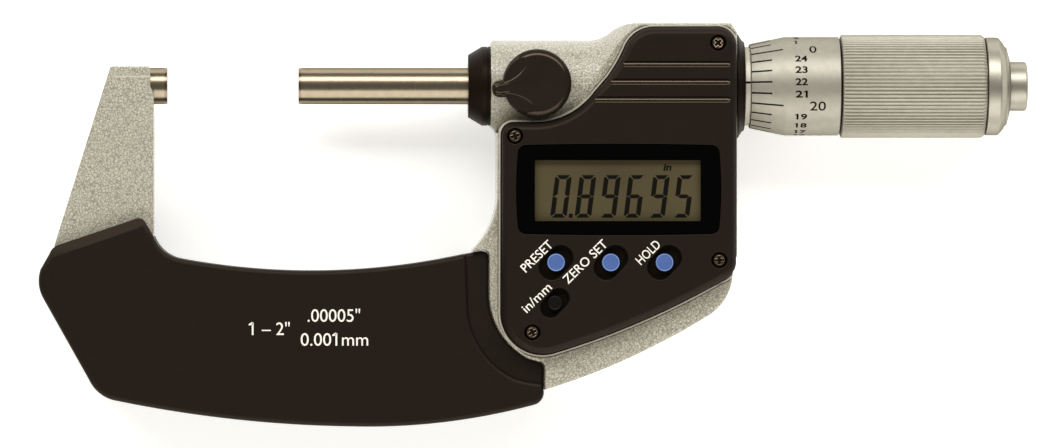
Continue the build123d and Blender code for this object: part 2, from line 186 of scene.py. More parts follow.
def inset(loop, distance):
    """The loop moved to its inside by distance."""
    on = np.roll(loop, -1, 0) - loop
    on /= np.linalg.norm(on, axis=1)[:, None]
    normal = np.c_[-on[:, 1], on[:, 0]]
    before = np.roll(normal, 1, 0)
    spread = 1 + np.sum(normal * before, axis=1)
    return loop + distance * (normal + before) / np.maximum(spread, 0.35)[:, None]


def soft_edge(z, way, radius, steps=4):
    """Levels (inset, z) of a rounded edge: way 1 for a top edge, -1 for a bottom one."""
    turns = [math.pi / 2 * k / steps for k in range(steps + 1)]
    levels = [(radius * (1 - math.cos(t)), z - way * radius * (1 - math.sin(t))) for t in turns]
    return levels if way > 0 else levels[::-1]


# ---- meshes

class Shape:
    """Points and faces in millimetres."""

    def __init__(self):
        self.points = []
        self.faces = []

    def ring(self, points):
        """Adds points and gives their indices."""
        first = len(self.points)
        self.points += [tuple(map(float, p)) for p in points]
        return list(range(first, len(self.points)))

    def level(self, loop, z):
        return self.ring([(x, y, z) for x, y in loop])

    def wall(self, a, b):
        """Faces between two rings of the same length."""
        for i in range(len(a)):
            j = (i + 1) % len(a)
            self.faces.append((a[i], a[j], b[j], b[i]))

    def cap(self, *rings):
        """Fills the first ring, with the others as openings."""
        loops = [[Vector(self.points[i]) for i in ring] for ring in rings]
        order = [i for ring in rings for i in ring]
        for triangle in tessellate_polygon(loops):
            self.faces.append(tuple(order[i] for i in triangle))

    def sweep(self, rings):
        """Walls from each ring of points to the next, closed at both ends."""
        made = [self.ring(points) for points in rings]
        for a, b in zip(made, made[1:]):
            self.wall(a, b)
        self.faces += [tuple(made[0]), tuple(made[-1])]
        return self

    def stack(self, loop, levels):
        """Walls up or down through levels (inset, z); gives the first and last ring."""
        rings = [self.level(inset(loop, d) if d else loop, z) for d, z in levels]
        for a, b in zip(rings, rings[1:]):
            self.wall(a, b)
        return rings[0], rings[-1]

    def add(self, other):
        first = len(self.points)
        self.points += other.points
        self.faces += [tuple(first + i for i in face) for face in other.faces]
        return self

    def moved(self, change):
        self.points = [tuple(change(*p)) for p in self.points]
        return self


def prism(loop, levels, pits=()):
    """A closed plate: levels go up the outside; each pit is (loop, levels down from the top)."""
    shape = Shape()
    low, high = shape.stack(loop, levels)
    mouths = []
    for pit_loop, pit_levels in pits:
        mouth, floor = shape.stack(pit_loop, pit_levels)
        mouths.append(mouth)
        shape.cap(floor)
    shape.cap(low)
    shape.cap(high, *mouths)
    return shape


def ring_plate(outer, outer_levels, inner, inner_levels):
    """A closed plate with an opening right through it; both lists of levels go up."""
    shape = Shape()
    low, high = shape.stack(outer, outer_levels)
    hole_low, hole_high = shape.stack(inner, inner_levels)
    shape.cap(low, hole_low)
    shape.cap(high, hole_high)
    return shape


def plain(low, high, edge=0.0):
    """The levels of a straight side, with rounded edges if edge isn't 0."""
    if not edge:
        return [(0, low), (0, high)]
    return soft_edge(low, -1, edge) + soft_edge(high, 1, edge)


def raised(base, levels):
    return [(distance, base + z) for distance, z in levels]


def lathe(profile, count=TURNS):
    """A turned solid about X from a closed profile of (x, radius)."""
    shape = Shape()
    turns = np.arange(count) * math.tau / count
    rings = []
    for x, radius in profile:
        if radius < 1e-6:
            rings.append(shape.ring([(x, 0, 0)]) * count)
        else:
            rings.append(shape.ring([(x, radius * math.sin(t), radius * math.cos(t)) for t in turns]))
    for a, b in zip(rings, rings[1:] + rings[:1]):
        for i in range(count):
            j = (i + 1) % count
            face = tuple(dict.fromkeys((a[i], a[j], b[j], b[i])))
            if len(face) > 2:
                shape.faces.append(face)
    return shape


def upright(shape, centre, base=0.0):
    """A shape turned about X stood on end: its x becomes height above base."""
    return shape.moved(lambda x, y, z: (centre[0] + y, centre[1] + z, base + x))


@contextlib.contextmanager
def editing(mesh):
    bm = bmesh.new()
    bm.from_mesh(mesh)
    yield bm
    bm.to_mesh(mesh)
    bm.free()


def linked(name, data):
    made = bpy.data.objects.new(name, data)
    bpy.context.scene.collection.objects.link(made)
    return made


def evaluated_mesh(made):
    depsgraph = bpy.context.evaluated_depsgraph_get()
    return bpy.data.meshes.new_from_object(made.evaluated_get(depsgraph))


def solid(shape):
    """A Shape as an object, still in millimetres."""
    mesh = bpy.data.meshes.new("work")
    mesh.from_pydata(shape.points, [], shape.faces)
    with editing(mesh) as bm:
        bmesh.ops.remove_doubles(bm, verts=bm.verts, dist=1e-5)
        bmesh.ops.recalc_face_normals(bm, faces=bm.faces)
    return linked("work", mesh)


def taken(made):
    """The object's mesh as a Shape; the object goes."""
    shape = Shape()
    shape.points = [tuple(v.co) for v in made.data.vertices]
    shape.faces = [tuple(f.vertices) for f in made.data.polygons]
    bpy.data.objects.remove(made)
    return shape


def carve(target, shape, operation="DIFFERENCE"):
    """The target object cut by, or joined to, a shape."""
    tool = solid(shape)
    change = target.modifiers.new("carve", "BOOLEAN")
    change.operation = operation
    change.solver = "EXACT"
    change.object = tool
    mesh = evaluated_mesh(target)
    target.modifiers.clear()
    target.data = mesh
    bpy.data.objects.remove(tool)


def crease(mesh, sharp):
    """Smooth shading with hard edges at real corners and round every level flat."""
    with editing(mesh) as bm:
        bm.normal_update()
        for face in bm.faces:
            face.smooth = True
        for edge in bm.edges:
            if len(edge.link_faces) != 2:
                continue
            a, b = (face.normal for face in edge.link_faces)
            level = (abs(a.z) > 0.99999) != (abs(b.z) > 0.99999)
            edge.smooth = not (level or a.angle(b, 0.0) > sharp)


def piece(name, made, body, slot, replaces=(), sharp=SHARP, finish=None):
    """Names the finished shape, in metres, gives it its finish (the slot's own unless another is named), and
    ties it to its CAD body.
    """
    part = solid(made) if isinstance(made, Shape) else made
    part.name = name
    part.data.name = name
    part.data.transform(Matrix.Scale(MM, 4))
    crease(part.data, sharp)
    coat(part, finish or slot)
    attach(part, body)
    if replaces:
        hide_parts(*replaces)


def coat(part, finish):
    part.data.materials.clear()
    part.data.materials.append(FINISHES[finish])


# ---- lettering

PRINT_DEPTH = 0.03
CAPITAL = 0.729    # height of a capital in the built-in typeface, as a share of its size


def words_mesh(words, height, bold):
    """The words as a flat mesh, left edge at 0 and foot at 0."""
    curve = bpy.data.curves.new("words", "FONT")
    curve.body = words
    curve.size = height / CAPITAL
    curve.resolution_u = 4
    curve.offset = bold
    curve.extrude = PRINT_DEPTH / 2
    text = linked("words", curve)
    mesh = evaluated_mesh(text)
    bpy.data.objects.remove(text)
    return mesh


def add_flag(bm, foot, height):
    """The slanting stroke of a 1, which is a plain bar in the built-in typeface."""
    flag = [(0, 0.98), (-0.06, 0.98), (-0.3, 0.83), (-0.3, 0.72), (0, 0.78)]
    back, front = ([bm.verts.new((foot + x * height, y * height, z)) for x, y in flag]
                   for z in (-PRINT_DEPTH / 2, PRINT_DEPTH / 2))
    bm.faces.new(back)
    bm.faces.new(front[::-1])
    for i in range(len(flag)):
        bm.faces.new((back[i - 1], back[i], front[i], front[i - 1]))


def lettering(name, words, height, width, place, body, slot, ink, bold=0.0, longest=None):
    """Words as a thin solid, width wide: place maps (along, up, out) in millimetres to a point."""
    feet = []
    for last in (i for i, letter in enumerate(words) if letter == "1"):
        ahead = words_mesh(words[:last + 1], height, bold)
        feet.append(max(vertex.co.x for vertex in ahead.vertices) - 0.07 * height)
        bpy.data.meshes.remove(ahead)
    mesh = words_mesh(words, height, bold)
    with editing(mesh) as bm:
        for foot in feet:
            add_flag(bm, foot, height)
        bmesh.ops.remove_doubles(bm, verts=bm.verts, dist=1e-4)
        if longest:
            bmesh.ops.triangulate(bm, faces=bm.faces)
            edges = [edge for edge in bm.edges if edge.calc_length() > longest]
            bmesh.ops.subdivide_edges(bm, edges=edges, cuts=2)
        bmesh.ops.recalc_face_normals(bm, faces=bm.faces)
    left = min(vertex.co.x for vertex in mesh.vertices)
    right = max(vertex.co.x for vertex in mesh.vertices)
    stretch = width / (right - left)
    for vertex in mesh.vertices:
        x, y, z = vertex.co
        vertex.co = place((x - left) * stretch, y, z + PRINT_DEPTH / 2)
    piece(name, linked(name, mesh), body, slot, finish=ink)


# ---- finishes

WHITE = (1.0, 1.0, 1.0)
WARM = (1.0, 0.78, 0.56)
CHROME_EDGE = (0.3, 0.285, 0.24)


FINISHES = {}


class Nodes:
    """A Principled material with a few procedural layers; edge is its tint at a glancing angle."""

    def __init__(self, name, colour, roughness, metallic=0.0, specular=0.5, coat=0.0, edge=WHITE):
        self.material = FINISHES[name] = bpy.data.materials.new(name)
        self.material.use_nodes = True
        self.tree = self.material.node_tree
        self.shader = self.tree.nodes["Principled BSDF"]
        self.feed(self.shader, {
            "Base Color": (*colour, 1),
            "Roughness": roughness,
            "Metallic": metallic,
            "Specular IOR Level": specular,
            "Specular Tint": (*edge, 1),
            "Coat Weight": coat,
            "Coat Roughness": 0.12,
        })
        self.place = self.add("TexCoord").outputs["Object"]
        self.relief = None

    def feed(self, node, inputs):
        """Sets a node's inputs, each from a value or from another node's output."""
        for key, value in inputs.items():
            if isinstance(value, bpy.types.NodeSocket):
                self.tree.links.new(value, node.inputs[key])
            else:
                node.inputs[key].default_value = value

    def add(self, kind, inputs=None, **settings):
        node = self.tree.nodes.new("ShaderNode" + kind)
        for key, value in settings.items():
            setattr(node, key, value)
        self.feed(node, inputs or {})
        return node

    def noise(self, size_mm, detail=2.0, stretch=(1, 1, 1)):
        """Soft grains of about size_mm; a small stretch along an axis draws them out along it."""
        mapping = self.add("Mapping", {"Scale": stretch, "Vector": self.place})
        inputs = {"Scale": 1 / (size_mm * MM), "Detail": detail, "Vector": mapping.outputs["Vector"]}
        return self.add("TexNoise", inputs).outputs["Fac"]

    def cell_edges(self, size_mm, width):
        """0 on the edges of warped cells, rising to 1 within them."""
        warp = self.add("TexNoise", {"Scale": 1 / (size_mm * 1.6 * MM), "Vector": self.place})
        push = {0: warp.outputs["Color"], 1: (size_mm * MM,) * 3, 2: self.place}
        shift = self.add("VectorMath", push, operation="MULTIPLY_ADD")
        inputs = {"Scale": 1 / (size_mm * MM), "Vector": shift.outputs["Vector"]}
        cells = self.add("TexVoronoi", inputs, feature="DISTANCE_TO_EDGE")
        reach = {"From Max": width, "Value": cells.outputs["Distance"]}
        return self.add("MapRange", reach).outputs["Result"]

    def mix(self, a, b, share):
        return self.add("Mix", {"Factor": share, "A": a, "B": b}, data_type="FLOAT").outputs["Result"]

    def tint(self, factor, dark, light, low=0.3, high=0.7):
        """Colour from dark to light where factor goes from low to high."""
        ramp = self.add("ValToRGB", {"Fac": factor})
        for stop, position, colour in zip(ramp.color_ramp.elements, (low, high), (dark, light)):
            stop.position = position
            stop.color = (*colour, 1)
        self.feed(self.shader, {"Base Color": ramp.outputs["Color"]})

    def gloss(self, factor, low, high):
        """Roughness from low to high with factor."""
        reach = self.add("MapRange", {"To Min": low, "To Max": high, "Value": factor})
        self.feed(self.shader, {"Roughness": reach.outputs["Result"]})

    def bump(self, height, depth_mm, strength, socket="Normal"):
        """A relief on top of the ones before it."""
        inputs = {"Distance": depth_mm * MM, "Strength": strength, "Height": height}
        if self.relief:
            inputs["Normal"] = self.relief
        self.relief = self.add("Bump", inputs).outputs["Normal"]
        self.feed(self.shader, {socket: self.relief})


def shade(colour, factor):
    return tuple(c * factor for c in colour)


def hammertone(name):
    """Pale grey enamel with a fine wormy grain under a clear gloss."""
    grey = (0.505, 0.483, 0.388)
    nodes = Nodes(name, grey, 0.34, coat=0.9)
    worms = nodes.cell_edges(0.52, 0.2)
    fine = nodes.noise(0.24, 3)
    nodes.tint(nodes.mix(worms, fine, 0.74), shade(grey, 0.45), shade(grey, 1.3), 0.34, 0.78)
    nodes.bump(worms, 0.05, 0.6, "Coat Normal")
    nodes.bump(fine, 0.06, 0.9)


def plastic(name, colour, roughness=0.48, grain_mm=0.16, depth_mm=0.01, specular=0.3, edge=WHITE):
    nodes = Nodes(name, colour, roughness, specular=specular, edge=edge)
    nodes.tint(nodes.noise(3.0, 4), shade(colour, 0.9), shade(colour, 1.1))
    nodes.bump(nodes.noise(grain_mm, 3), depth_mm, 0.5)


def gloss_plastic(name, colour, roughness=0.25, specular=0.5, edge=WHITE):
    nodes = Nodes(name, colour, roughness, specular=specular, edge=edge)
    nodes.tint(nodes.noise(2.0, 3), shade(colour, 0.94), shade(colour, 1.06))
    nodes.bump(nodes.noise(0.5, 2), 0.004, 0.4)


def turned_metal(name, colour, roughness, edge=CHROME_EDGE, metallic=1.0, specular=0.5):
    """Turned about X: fine marks run round the piece."""
    nodes = Nodes(name, colour, roughness, metallic, specular, edge=edge)
    marks = nodes.noise(0.05, 2, (1, 0.02, 0.02))
    nodes.tint(nodes.noise(1.4, 3), shade(colour, 0.95), shade(colour, 1.05))
    nodes.gloss(marks, roughness * 0.8, roughness * 1.2)
    nodes.bump(marks, 0.002, 0.5)


def metal(name, colour, roughness):
    nodes = Nodes(name, colour, roughness, metallic=1.0)
    grain = nodes.noise(0.3, 3)
    nodes.tint(nodes.noise(1.2, 3), shade(colour, 0.92), shade(colour, 1.08))
    nodes.gloss(grain, roughness * 0.8, roughness * 1.25)
    nodes.bump(grain, 0.003, 0.5)


def ink(name, colour):
    nodes = Nodes(name, colour, 0.6, specular=0.08)
    nodes.tint(nodes.noise(0.4, 2), shade(colour, 0.93), shade(colour, 1.04))


def display_glass(name):
    olive = (0.071, 0.056, 0.027)
    nodes = Nodes(name, olive, 0.5, specular=0.2)
    nodes.tint(nodes.noise(14.0, 1), shade(olive, 0.86), shade(olive, 1.15))
    nodes.bump(nodes.noise(0.2, 2), 0.003, 0.4)


# The record's slots.
SOOT = (0.0032, 0.0024, 0.0018)
hammertone("hammertone_paint")
metal("hardened_steel", (0.5, 0.46, 0.38), 0.25)
metal("carbide", (0.25, 0.20, 0.15), 0.22)
plastic("black_cover", (0.0078, 0.0057, 0.0048), specular=0.22, edge=WARM)
turned_metal("black_steel", (0.0068, 0.0044, 0.0027), 0.42, WARM, metallic=0.0, specular=0.09)
turned_metal("satin_chrome", (0.43, 0.411, 0.353), 0.55)
turned_metal("spindle_chrome", (0.335, 0.287, 0.212), 0.25, (0.36, 0.31, 0.22))
plastic("lever_black", (0.0135, 0.0102, 0.0082), 0.2, 0.3, 0.004, 0.42, WARM)
metal("brass", (0.62, 0.42, 0.16), 0.3)
metal("bronze", (0.45, 0.27, 0.12), 0.35)
plastic("rubber", SOOT, 0.7, 0.4, specular=0.1, edge=WARM)
metal("screw_steel", (0.25, 0.195, 0.14), 0.2)
gloss_plastic("window_black", (0.0006, 0.0006, 0.0006), 0.5, 0.02)
display_glass("lcd_glass")
plastic("board_green", (0.02, 0.10, 0.04), 0.4, 0.6)
metal("switch_metal", (0.6, 0.6, 0.58), 0.3)
gloss_plastic("blue_button", (0.068, 0.128, 0.355), 0.42, 0.3)
gloss_plastic("black_button", SOOT, 0.5, 0.12)
metal("battery_steel", (0.6, 0.6, 0.6), 0.25)
plastic("copper_ribbon", (0.4, 0.2, 0.06), 0.4, 0.5)

# Finishes that differ from the slot's own.
ink("white_print", (0.93, 0.91, 0.85))
ink("black_fill", (0.002, 0.0015, 0.001))
ink("display_segment", (0.0035, 0.003, 0.0015))
# Paler than the casting's enamel: the paler colour of this smooth glossy paint is a painted highlight on the
# bead and the paint ridges.
gloss_plastic("smooth_paint_painted_highlight", (0.56, 0.53, 0.44), 0.3, 0.6)
gloss_plastic("worn_edge", (0.010, 0.006, 0.003), 0.22, 0.75, WARM)
# A lighter blue ring on each blue button: a painted highlight.
gloss_plastic("blue_painted_highlight", (0.22, 0.33, 0.66), 0.3, 0.5)
# A lighter copy of the satin chrome for the sleeve: painted light that lifts the shade between the collar
# and the thimble.
turned_metal("pale_chrome_painted_light", (0.62, 0.59, 0.52), 0.6)
turned_metal("bright_chrome", (0.44, 0.42, 0.36), 0.42)
turned_metal("knurl_chrome", (0.49, 0.468, 0.40), 0.56, (0.02, 0.019, 0.016))


def finish_cad_nodes():
    """Every carried-over CAD node gets its slot's finish."""
    slots = {s["node"]: s["material_slot"] for s in frame["record"]["subparts"]}
    for node, part in frame["nodes"].items():
        coat(part, slots[node])


# ---- casting and covers

# The casting is flat from BACK to CASTING_TOP. Its bow and arm are thinner, centred on the spindle's axis.
BACK = cad_low("frame")[2]
CASTING_TOP = cad_high("frame")[2]
COVER_TOP = 10.8
BOW_TOP = cad_high("bow_cover_front")[2]
FLANGE_TOP = BOW_TOP - 0.6
HOUSING_END = 98.95
BOW_HALF = 5.2
ARM_HALF = 4.6
LOCK = cad_middle("lock_screw")[:2]
BUTTONS = {n: cad_middle(n + "_button")[:2] for n in ("origin", "zero", "hold", "unit")}
COVER_SCREWS = [(60.3, -8.8), (95.5, 7.35), (95.7, -30.3), (63.3, -42.8)]
BOW_SCREWS = [(-12.0, -40.0), (20.0, -45.5), (48.0, -44.5)]
BATTERY = cad_middle("battery_lid")[:2]
SPINDLE_R = (cad_high("anvil_tip")[1] - cad_low("anvil_tip")[1]) / 2


def bow_main_outline():
    """The bow cover up to the seam of its lower end strip."""
    return outline(
        (-18.9, -27.7), (-5.6, -23.2), ((-4.6, -23.1), (-3.7, -23.8)), (-2.35, -26.1),
        ((-1.0, -28.25), (2.3, -30.05)), ((24.8, -32.15), (51.3, -29.35)), (51.85, -29.25),
        (51.95, -30.1), ((52.15, -35.0), (52.3, -39.3)), ((55.0, -46.3), (60.47, -50.8)),
        ((62.6, -51.35), (65.1, -51.65)), (65.4, -53.0),
        ((65.0, -54.6), (63.8, -55.45)), ((51.25, -58.05), (32.1, -59.2)),
        ((12.95, -58.08), (-9.34, -54.6)), ((-12.1, -53.04), (-13.52, -51.03)),
        (-21.35, -37.1), ((-22.2, -34.5), (-21.9, -31.9)), (-20.35, -29.2),
        ((-19.8, -28.3), (-18.9, -27.7)),
    )


def flange_outline():
    """The lower strip at the bow cover's right end, reaching under the main part."""
    return outline(
        (49.5, -31.0), (49.5, -29.72), (51.3, -29.37), (54.6, -28.77), ((55.43, -29.0), (55.78, -29.8)),
        (55.78, -35.9), ((58.38, -43.88), (62.62, -47.55)), (64.38, -48.07),
        ((65.08, -48.42), (65.38, -49.1)), (65.38, -52.9), (64.0, -54.0), (50.0, -46.0),
    )


def arm_outline():
    """The tapered arm that holds the anvil."""
    corners = [(-9.85, 3.35, 0.4), (-2.93, 3.35, 0.4), (-2.93, -0.1, 0.8), (-2.34, -1.4, 1.2),
               (-2.34, -27.5, 0), (-18.0, -29.4, 0), (-19.6, -27.87, 0)]
    return rounded(corners)[::-1]


def bow_outline():
    """The casting's bow, hidden between its two covers."""
    return outline(
        (-18.1, -28.55), (-5.4, -24.3), (-4.3, -24.4), (-3.95, -25.0), (-3.95, -26.5),
        ((-2.1, -29.4), (1.9, -31.6)), ((24.8, -33.7), (52.0, -30.85)), (60.0, -31.0),
        (67.5, -46.0), (67.5, -50.8), (63.9, -53.0), ((51.0, -56.4), (32.1, -57.6)),
        ((13.1, -56.5), (-8.9, -53.05)), ((-10.9, -51.9), (-12.1, -50.35)),
        (-19.9, -36.5), ((-20.6, -34.5), (-20.3, -32.3)),
    )


def housing_outline():
    """The casting round the display cover, with a thin gap beside the bow cover's flange."""
    gap = 0.14
    return outline(
        (56.24, 7.2), ((56.45, 7.8), (57.05, 8.0)), (73.7, 8.0),
        ((75.5, 8.4), (77.1, 9.35)), ((78.9, 10.4), (80.9, 10.83)), (97.9, 10.83),
        (98.95, 9.2), (98.95, -29.5), (98.2, -31.6), ((97.3, -36.3), (93.3, -40.35)),
        ((89.2, -42.75), (85.07, -44.92)), ((76.9, -48.75), (68.54, -51.88)),
        (65.4 + gap, -52.86), (65.4 + gap, -49.1),
        ((65.1 + gap, -48.35 + gap), (64.4, -48.05 + gap)), (62.63, -47.53 + gap),
        ((58.4 + gap, -43.87), (55.8 + gap, -35.9)), (55.8 + gap, -29.8),
        ((55.45 + gap, -29.0 + gap), (54.6, -28.75 + gap)), (53.0, -28.9),
        (53.1, -28.43), ((55.76, -24.92), (57.29, -18.6)), (57.3, -8.7),
        ((56.98, -7.9), (56.24, -7.1)),
    )


def cover_outline():
    """The black display cover."""
    return outline(
        (57.87, -8.6), ((58.5, -7.0), (60.2, -6.35)), (64.1, -6.4),
        ((69.2, -5.15), (74.1, -1.1)), (76.4, 1.55), ((78.2, 4.4), (79.4, 6.9)),
        ((81.3, 9.2), (84.4, 10.2)), (95.7, 10.25), ((97.9, 9.2), (98.8, 6.5)),
        (98.86, -30.9), ((98.1, -32.75), (96.3, -34.0)), ((82.0, -41.1), (67.6, -46.35)),
        ((60.35, -45.0), (57.8, -39.15)),
    )


def rod_shape(x0, x1, radius, count=64):
    return lathe([(x0, 0), (x0, radius), (x1, radius), (x1, 0)], count)


def post_shape(centre, low, high, radius, count=64):
    return prism(circle(radius, centre, count), plain(low, high))


BARREL_R = 8.05
BARREL_DROP = BARREL_R - CASTING_TOP


def barrel_height(y):
    """How high the barrel's round top is at y."""
    return math.sqrt(BARREL_R ** 2 - y ** 2) - BARREL_DROP


def barrel_hollow():
    """What is cut away beside the display cover to leave the round barrel the spindle runs in."""
    region = outline((55.0, -7.6), (60.0, -9.0), (75.0, -9.0), (84.5, 5.0), (84.5, 12.0), (55.0, 12.0))
    hollow = solid(prism(region, plain(0.5, 14)))
    carve(hollow, prism(inset(cover_outline(), -0.4), plain(-1, 20)))
    flare = [(50, 0.0), (73.5, 0.0), (75.0, 0.25), (76.2, 0.95), (77.6, 2.15), (79.2, 3.55), (81.0, 4.75),
             (82.5, 5.45), (90, 5.6)]
    profile = [(50, 0)] + [(x, BARREL_R + rise) for x, rise in flare] + [(90, 0)]
    carve(hollow, lathe(profile, 256).moved(lambda x, y, z: (x, y, z - BARREL_DROP)))
    return taken(hollow)


def paint_ridge(x0, x1, y, top, half, height):
    """A low uneven ridge of paint along X."""
    rings = []
    for x in np.linspace(x0, x1, 33):
        wave = 0.05 * math.sin(2.6 * x) + 0.03 * math.sin(5.3 * x)
        lift = height * (0.85 + 0.15 * math.sin(3.7 * x))
        across = [(-half, -0.15), (half, -0.15), (half * 0.9, 0.02), (half * 0.4, lift), (-half * 0.4, lift),
                  (-half * 0.9, 0.02)]
        rings.append([(x, y + wave + dy, top + dz) for dy, dz in across])
    return Shape().sweep(rings)


def make_paint_ridges():
    ridges = paint_ridge(-9.2, -3.15, 1.55, 4.6, 0.15, 0.08)
    for x0, x1, y in ((70.4, 74.4, 1.28), (70.4, 73.9, 0.3), (57.2, 58.4, 3.2)):
        ridges.add(paint_ridge(x0, x1, y, barrel_height(y), 0.1, 0.05))
    # The ridges take the paler smooth paint, a painted highlight along each of them.
    piece("paint_ridges", ridges, BODY, "hammertone_paint", finish="smooth_paint_painted_highlight")


def make_bead():
    """The smooth raised edge of the casting all round the display cover, in paler paint that is a painted
    highlight.
    """
    low, high = CASTING_TOP - 0.5, CASTING_TOP + 0.30
    outer = [(0, low), (0, high - 0.14), (0.03, high - 0.05), (0.09, high)]
    inner = [(0, low), (0, high - 0.1), (-0.04, high)]
    bead = solid(ring_plate(inset(cover_outline(), -0.28), outer, inset(cover_outline(), 0.01), inner))
    carve(bead, prism(inset(housing_outline(), 0.1), plain(0, 20)), "INTERSECT")
    piece("cover_bead", bead, BODY, "hammertone_paint", finish="smooth_paint_painted_highlight")


def cover_groove():
    """The narrow groove round the display cover, where the casting is wide enough for it."""
    levels = plain(CASTING_TOP - 0.35, CASTING_TOP + 4)
    groove = solid(ring_plate(inset(cover_outline(), -0.5), levels, inset(cover_outline(), 0.01), levels))
    carve(groove, prism(inset(housing_outline(), 0.35), plain(0, 20)), "INTERSECT")
    return taken(groove)


def make_frame():
    """The casting: housing, barrel, lever boss, bow and arm, then its pockets and bores."""
    casting = solid(prism(housing_outline(), plain(BACK, CASTING_TOP, 0.45)))
    carve(casting, barrel_hollow())
    carve(casting, post_shape(LOCK, 0, CASTING_TOP, 4.9, 96), "UNION")
    carve(casting, prism(bow_outline(), plain(-BOW_HALF, BOW_HALF)), "UNION")
    carve(casting, prism(arm_outline(), plain(-ARM_HALF, ARM_HALF, 0.3)), "UNION")
    for hollow in (
        cover_groove(),
        prism(inset(cover_outline(), 0.03), plain(CASTING_TOP - 0.52, 9.5)),
        prism(inset(cover_outline(), 1.7), plain(-7.7, 9.0)),
        rod_shape(HOUSING_END - 43.5, HOUSING_END + 1, 5.0),
        rod_shape(94.0, HOUSING_END + 1, 6.86),
        rod_shape(-8.4, 1.0, 2.0),
        post_shape(LOCK, 2.0, 9.0, 1.6),
        post_shape(BATTERY, BACK - 1, -8.1, 7.28, 96),
        post_shape(BATTERY, -8.5, -2.0, 5.95, 96),
    ):
        carve(casting, hollow)
    piece("casting", casting, BODY, "hammertone_paint", ["frame"])


def arm_edge_slope():
    """What is cut away for the wide slope along the front cover's edge beside the arm."""
    start, end = np.array((-23.5, -29.24)), np.array((-3.4, -22.42))
    on = (end - start) / np.linalg.norm(end - start)
    inward = np.array((on[1], -on[0]))
    across = [(-1.0, -1.05), (1.75, 0.0), (1.75, 1.5), (-1.0, 1.5)]
    return Shape().sweep([[(*(spot + inward * d), BOW_TOP + z) for d, z in across] for spot in (start, end)])


def make_bow_cover(name, node, low, high, flange, front):
    """One of the two covers that wrap the bow."""
    if front:
        main_levels = soft_edge(low, -1, 0.08, 2) + soft_edge(high, 1, 0.75, 5)
        strip_levels = [(0.02, low + 0.05)] + soft_edge(flange, 1, 0.5)
    else:
        main_levels = soft_edge(low, -1, 0.75, 5) + soft_edge(high, 1, 0.08, 2)
        strip_levels = soft_edge(flange, -1, 0.5) + [(0.02, high - 0.05)]
    cover = solid(prism(bow_main_outline(), main_levels))
    carve(cover, prism(flange_outline(), strip_levels), "UNION")
    carve(cover, prism(inset(bow_outline(), -0.12), plain(-BOW_HALF - 0.1, BOW_HALF + 0.1)))
    carve(cover, prism(inset(arm_outline(), -0.03), plain(-ARM_HALF - 0.04, ARM_HALF + 0.04, 0.3)))
    if front:
        carve(cover, arm_edge_slope())
    else:
        for spot in BOW_SCREWS:
            carve(cover, post_shape(spot, low - 1, low + 2.2, 1.85, 48))
    piece(name, cover, BODY, "black_cover", [node])


def window_outline():
    """The display window: four sides that bow out a little between round corners."""
    x0, y0 = cad_low("display_window")[:2]
    x1, y1 = cad_high("display_window")[:2] + np.array((0.0, 0.2))
    xm, ym = (x0 + x1) / 2, (y0 + y1) / 2
    bow, sag, reach, cut = 0.28, 0.196, 1.68, 0.64
    return outline(
        (x0 + bow, y0 + reach), ((x0 + cut, y0 + cut), (x0 + reach, y0 + sag)),
        ((xm, y0), (x1 - reach, y0 + sag)), ((x1 - cut, y0 + cut), (x1 - bow, y0 + reach)),
        ((x1, ym), (x1 - bow, y1 - reach)), ((x1 - cut, y1 - cut), (x1 - reach, y1 - sag)),
        ((xm, y1), (x0 + reach, y1 - sag)), ((x0 + cut, y1 - cut), (x0 + bow, y1 - reach)),
        ((x0, ym), (x0 + bow, y0 + reach)),
    )


WELL_ANGLE = math.radians(47)
RIBS = ((79.0, 3.45), (76.9, 0.38), (74.1, -2.70))    # where each starts, and its y
RIB_END = 97.6
RIB_HALF = 0.33


def well_outline(name, margin=0.0):
    radius = 1.78 if name == "unit" else 2.22
    return stadium(BUTTONS[name], 1.15, radius + margin, WELL_ANGLE)


def rib_outline(start, y, half, end=RIB_END):
    """A bar along X with a tapered end."""
    taper = end - 0.4
    return np.array([(start, y - half), (taper, y - half), (end, y - half / 2), (end, y + half / 2),
                     (taper, y + half), (start, y + half)])


def cut_pits(cover):
    """The screw holes and the groove under each rib, which reach out over the rounded edge."""
    hole = raised(COVER_TOP, [(0, -1.5), (0, -0.06), (-0.1, 0), (-0.1, 0.5)])
    slope = raised(COVER_TOP, [(0.1, -0.26), (0.02, -0.04), (-0.04, 0), (-0.04, 0.5)])
    for spot in COVER_SCREWS:
        carve(cover, prism(circle(1.42, spot, 48), hole))
    for start, y in RIBS:
        carve(cover, prism(rib_outline(start + 0.25, y + 0.55, 0.24, RIB_END - 0.15), slope))


def make_display_cover():
    low = CASTING_TOP + 0.02
    side = [(0.22, low)] + raised(COVER_TOP, [
        (0.22, -0.9), (0.3, -0.75), (0.92, -0.17), (1.0, -0.125), (1.18, -0.045), (1.26, -0.02), (1.42, 0)])
    window = raised(COVER_TOP, [(-0.08, 0), (-0.02, -0.03), (0.02, -0.1), (0.04, -1.3)])
    well = raised(COVER_TOP, [(-0.14, 0), (-0.05, -0.03), (0, -0.12), (0.02, -1.4)])
    pits = [(inset(window_outline(), -0.06), window)] + [(well_outline(name), well) for name in BUTTONS]
    cover = solid(prism(cover_outline(), side, pits))
    cut_pits(cover)
    carve(cover, prism(inset(window_outline(), 0.1), plain(low - 1, COVER_TOP - 1.0)))
    piece("display_cover_shell", cover, BODY, "black_cover", ["display_cover"])


